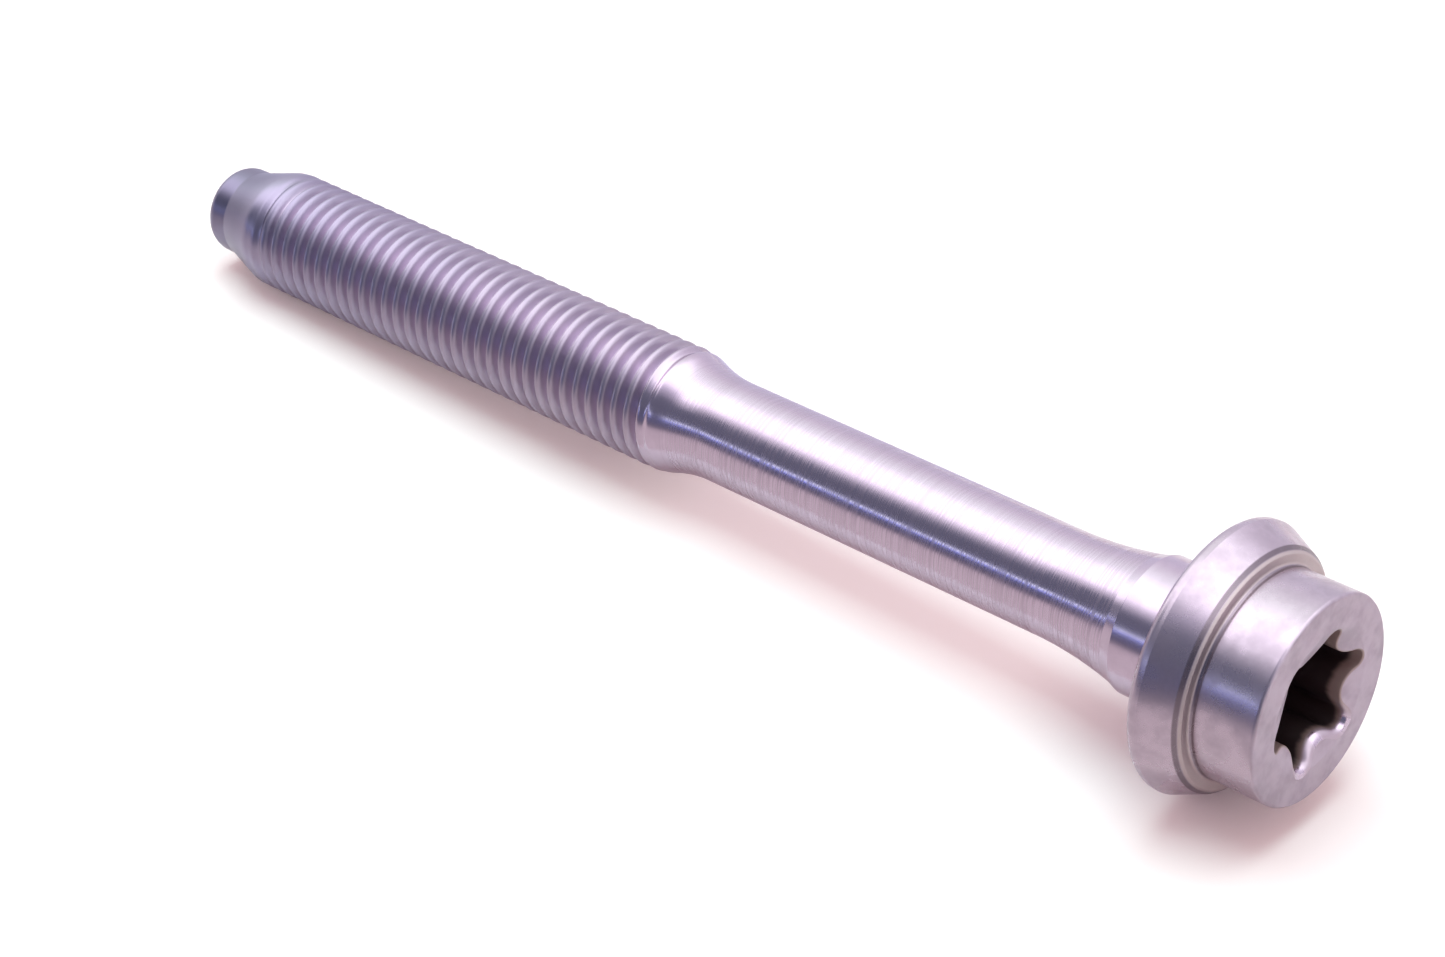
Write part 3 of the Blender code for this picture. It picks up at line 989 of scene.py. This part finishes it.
FAR_FLOOR_STOPS = [
    (0.00, (0.82, 0.80, 1.0)),
    (1.00, (0.82, 0.80, 1.0)),
]
FLOOR_STOPS = [
    (0.000, (0.90, 0.835, 0.85)),
    (0.032, (0.86, 0.78, 0.81)),
    (0.066, (0.19, 0.185, 0.25)),
    (1.000, (0.17, 0.19, 0.31)),
]
ARC_CARDS = {
    "softbox_front": ((-3.0, 50, 182), (0.25, 46, 182), CARD_DISTANCE, SOFTBOX_FRONT_STOPS, SOFTBOX_STRENGTH),
    "softbox_head": ((0.25, 40, 182), (0.50, 41, 182), CARD_DISTANCE, SOFTBOX_STOPS, SOFTBOX_HEAD_STRENGTH),
    "softbox_waist": ((0.50, 41, 182), (0.62, 51, 190), CARD_DISTANCE, SOFTBOX_STOPS, SOFTBOX_STRENGTH),
    "softbox_tip": ((0.62, 51, 190), (3.0, 51, 190), CARD_DISTANCE, SOFTBOX_STOPS, SOFTBOX_STRENGTH),
    "dark_card": ((-3.0, -10, 60), (3.0, -10, 60), DARK_DISTANCE, DARK_STOPS, DIM_STRENGTH),
    "slit_card": ((0.15, 8.5, 15.5), (3.0, 8.5, 15.5), SLIT_DISTANCE, SLIT_STOPS, SLIT_STRENGTH),
}
FLOOR_CARDS = {
    "far_floor_card": ([(-0.95, 0.75), (-0.95, 2.0), (-0.007, 0.026), (-0.007, 1.2)], FAR_FLOOR_STOPS),
    "floor_card": ([(0.010, -1.0), (0.010, 1.2), (0.95, -1.0), (0.95, 1.2)], FLOOR_STOPS),
}


def card_material(name, stops, strength):
    """A glowing card whose colour goes through the given stops from its first edge to its last."""
    material, tree = stage_material(name)
    ramp = material.node_tree.nodes.new("ShaderNodeValToRGB")
    tree.put(ramp.inputs[0], tree.node("ShaderNodeAttribute", {"attribute_name": "across"}, output="Fac"))
    elements = ramp.color_ramp.elements
    while len(elements) < len(stops):
        elements.new(0.5)
    for element, (place, shade) in zip(elements, stops):
        element.position = place
        element.color = rgba(shade)
    tree.show(tree.glow(Term(tree, ramp.outputs[0]), strength))
    return material


def light_card(name, pairs, material):
    """A card through pairs of points, one pair for each step across it; only reflections see it."""
    faces = [(low, low + 1, low + 3, low + 2) for low in range(0, 2 * len(pairs) - 2, 2)]
    card = add_mesh(name, [spot for pair in pairs for spot in pair], faces, [material])
    across = card.data.attributes.new("across", "FLOAT", "POINT")
    for index, value in enumerate(across.data):
        value.value = (index // 2) / (len(pairs) - 1)
    for ray in ("camera", "diffuse", "shadow", "volume_scatter"):
        setattr(card, "visible_" + ray, False)


def hang_cards(studio):
    """Hangs the arc cards round the bolt and lays the floor cards on the table."""
    over = direction(studio.table_azimuth, 0)
    level = table_level(studio)
    for name, (low, high, distance, stops, strength) in ARC_CARDS.items():
        pairs = []
        for step in range(ARC_STEPS + 1):
            pair = []
            for height, first, last in (low, high):
                turn = radians(first + (last - first) * step / ARC_STEPS)
                pair.append((level * cos(turn) + over * sin(turn)) * distance + Vector((0, 0, height)))
            pairs.append(pair)
        light_card(name, pairs, card_material(name, stops, strength))

    normal = direction(studio.table_azimuth, studio.table_elevation)
    along = (UP - normal * normal.z).normalized()
    foot = -normal * (studio.table_distance - CARD_LIFT)
    for name, (places, stops) in FLOOR_CARDS.items():
        spots = [foot + level * away + along * forward for away, forward in places]
        light_card(name, [spots[:2], spots[2:]], card_material(name, stops, DIM_STRENGTH))


def world_light(studio):
    """White for the camera and the steel's reflections, a warm fill for everything else."""
    world = bpy.data.worlds.new("studio")
    world.use_nodes = True
    bpy.context.scene.world = world
    tree = Tree(world.node_tree)
    background = world.node_tree.nodes["Background"]
    rays = ("Is Camera Ray", "Is Glossy Ray", "Is Transmission Ray")
    camera, glossy, clear = (tree.node("ShaderNodeLightPath", output=ray) for ray in rays)
    seen = tree.larger(tree.larger(camera, glossy), clear)
    tree.put(background.inputs["Color"], tree.mix(seen, studio.fill, studio.white))


def add_camera(studio):
    """The camera at the photograph's viewing angle."""
    view = -direction(studio.azimuth, studio.elevation)
    level_right = view.cross(UP).normalized()
    level_up = level_right.cross(view)
    up = level_up * cos(studio.roll) + level_right * sin(studio.roll)
    lens = bpy.data.cameras.new("camera")
    lens.sensor_width = SENSOR_WIDTH
    lens.lens = studio.lens
    lens.clip_start = NEAR_CLIP
    lens.clip_end = FAR_CLIP
    camera = add_object("camera", lens)
    camera.matrix_world = facing(Vector(studio.aim) - view * studio.distance, -view, up)
    bpy.context.scene.camera = camera


class HEADBOLT_OT_set_studio(bpy.types.Operator):
    """Set up the pale table, the floor, the lights and the camera"""

    bl_idname = "headbolt.set_studio"
    bl_label = "Set Studio"

    def execute(self, context):
        studio = context.scene.headbolt.studio
        context.scene.view_settings.view_transform = "Standard"
        up = direction(studio.table_azimuth, studio.table_elevation)
        stage_plane("table", studio.table_size, -up * studio.table_distance, up, table_material(studio))
        stage_plane("floor", studio.table_size, Vector((0, 0, 0)), UP, floor_material(studio))
        hang_cards(studio)

        lamp = bpy.data.lights.new("key_lamp", "AREA")
        lamp.shape = "SQUARE"
        lamp.size = studio.key_size
        lamp.energy = studio.key_power
        lamp.color = studio.key
        key = add_object("key_lamp", lamp)
        over = direction(studio.table_azimuth, 0)
        middle = UP * BOLT_LENGTH / 2
        key.matrix_world = facing(middle + over * studio.key_distance, over, UP)
        key.visible_glossy = False
        world_light(studio)
        add_camera(studio)
        return {"FINISHED"}


class VIEW3D_PT_headbolt(bpy.types.Panel):
    """The bolt's settings and operators"""

    bl_idname = "VIEW3D_PT_headbolt"
    bl_label = "Head Bolt"
    bl_space_type = "VIEW_3D"
    bl_region_type = "UI"
    bl_category = "Head Bolt"

    def draw(self, context):
        settings = context.scene.headbolt
        for operator in OPERATORS:
            self.layout.operator(operator.bl_idname)
        for name in ("head", "shank", "thread", "steel", "studio"):
            box = self.layout.box()
            box.label(text=name.capitalize())
            group = getattr(settings, name)
            for field in group.bl_rna.properties:
                if not field.is_readonly and field.identifier != "name":
                    box.prop(group, field.identifier)


GROUPS = (HeadSizes, ShankSizes, ThreadSizes, SteelLooks, StudioSettings, BoltSettings)
OPERATORS = (HEADBOLT_OT_forge_head, HEADBOLT_OT_turn_shank, HEADBOLT_OT_roll_thread, HEADBOLT_OT_set_studio)
CLASSES = GROUPS + OPERATORS + (VIEW3D_PT_headbolt,)


def register():
    for item in CLASSES:
        bpy.utils.register_class(item)
    bpy.types.Scene.headbolt = PointerProperty(type=BoltSettings)


def unregister():
    del bpy.types.Scene.headbolt
    for item in reversed(CLASSES):
        bpy.utils.unregister_class(item)


def main():
    register()
    bpy.ops.headbolt.forge_head()
    bpy.ops.headbolt.turn_shank()
    bpy.ops.headbolt.roll_thread()
    bpy.ops.headbolt.set_studio()


if __name__ == "__main__":
    main()
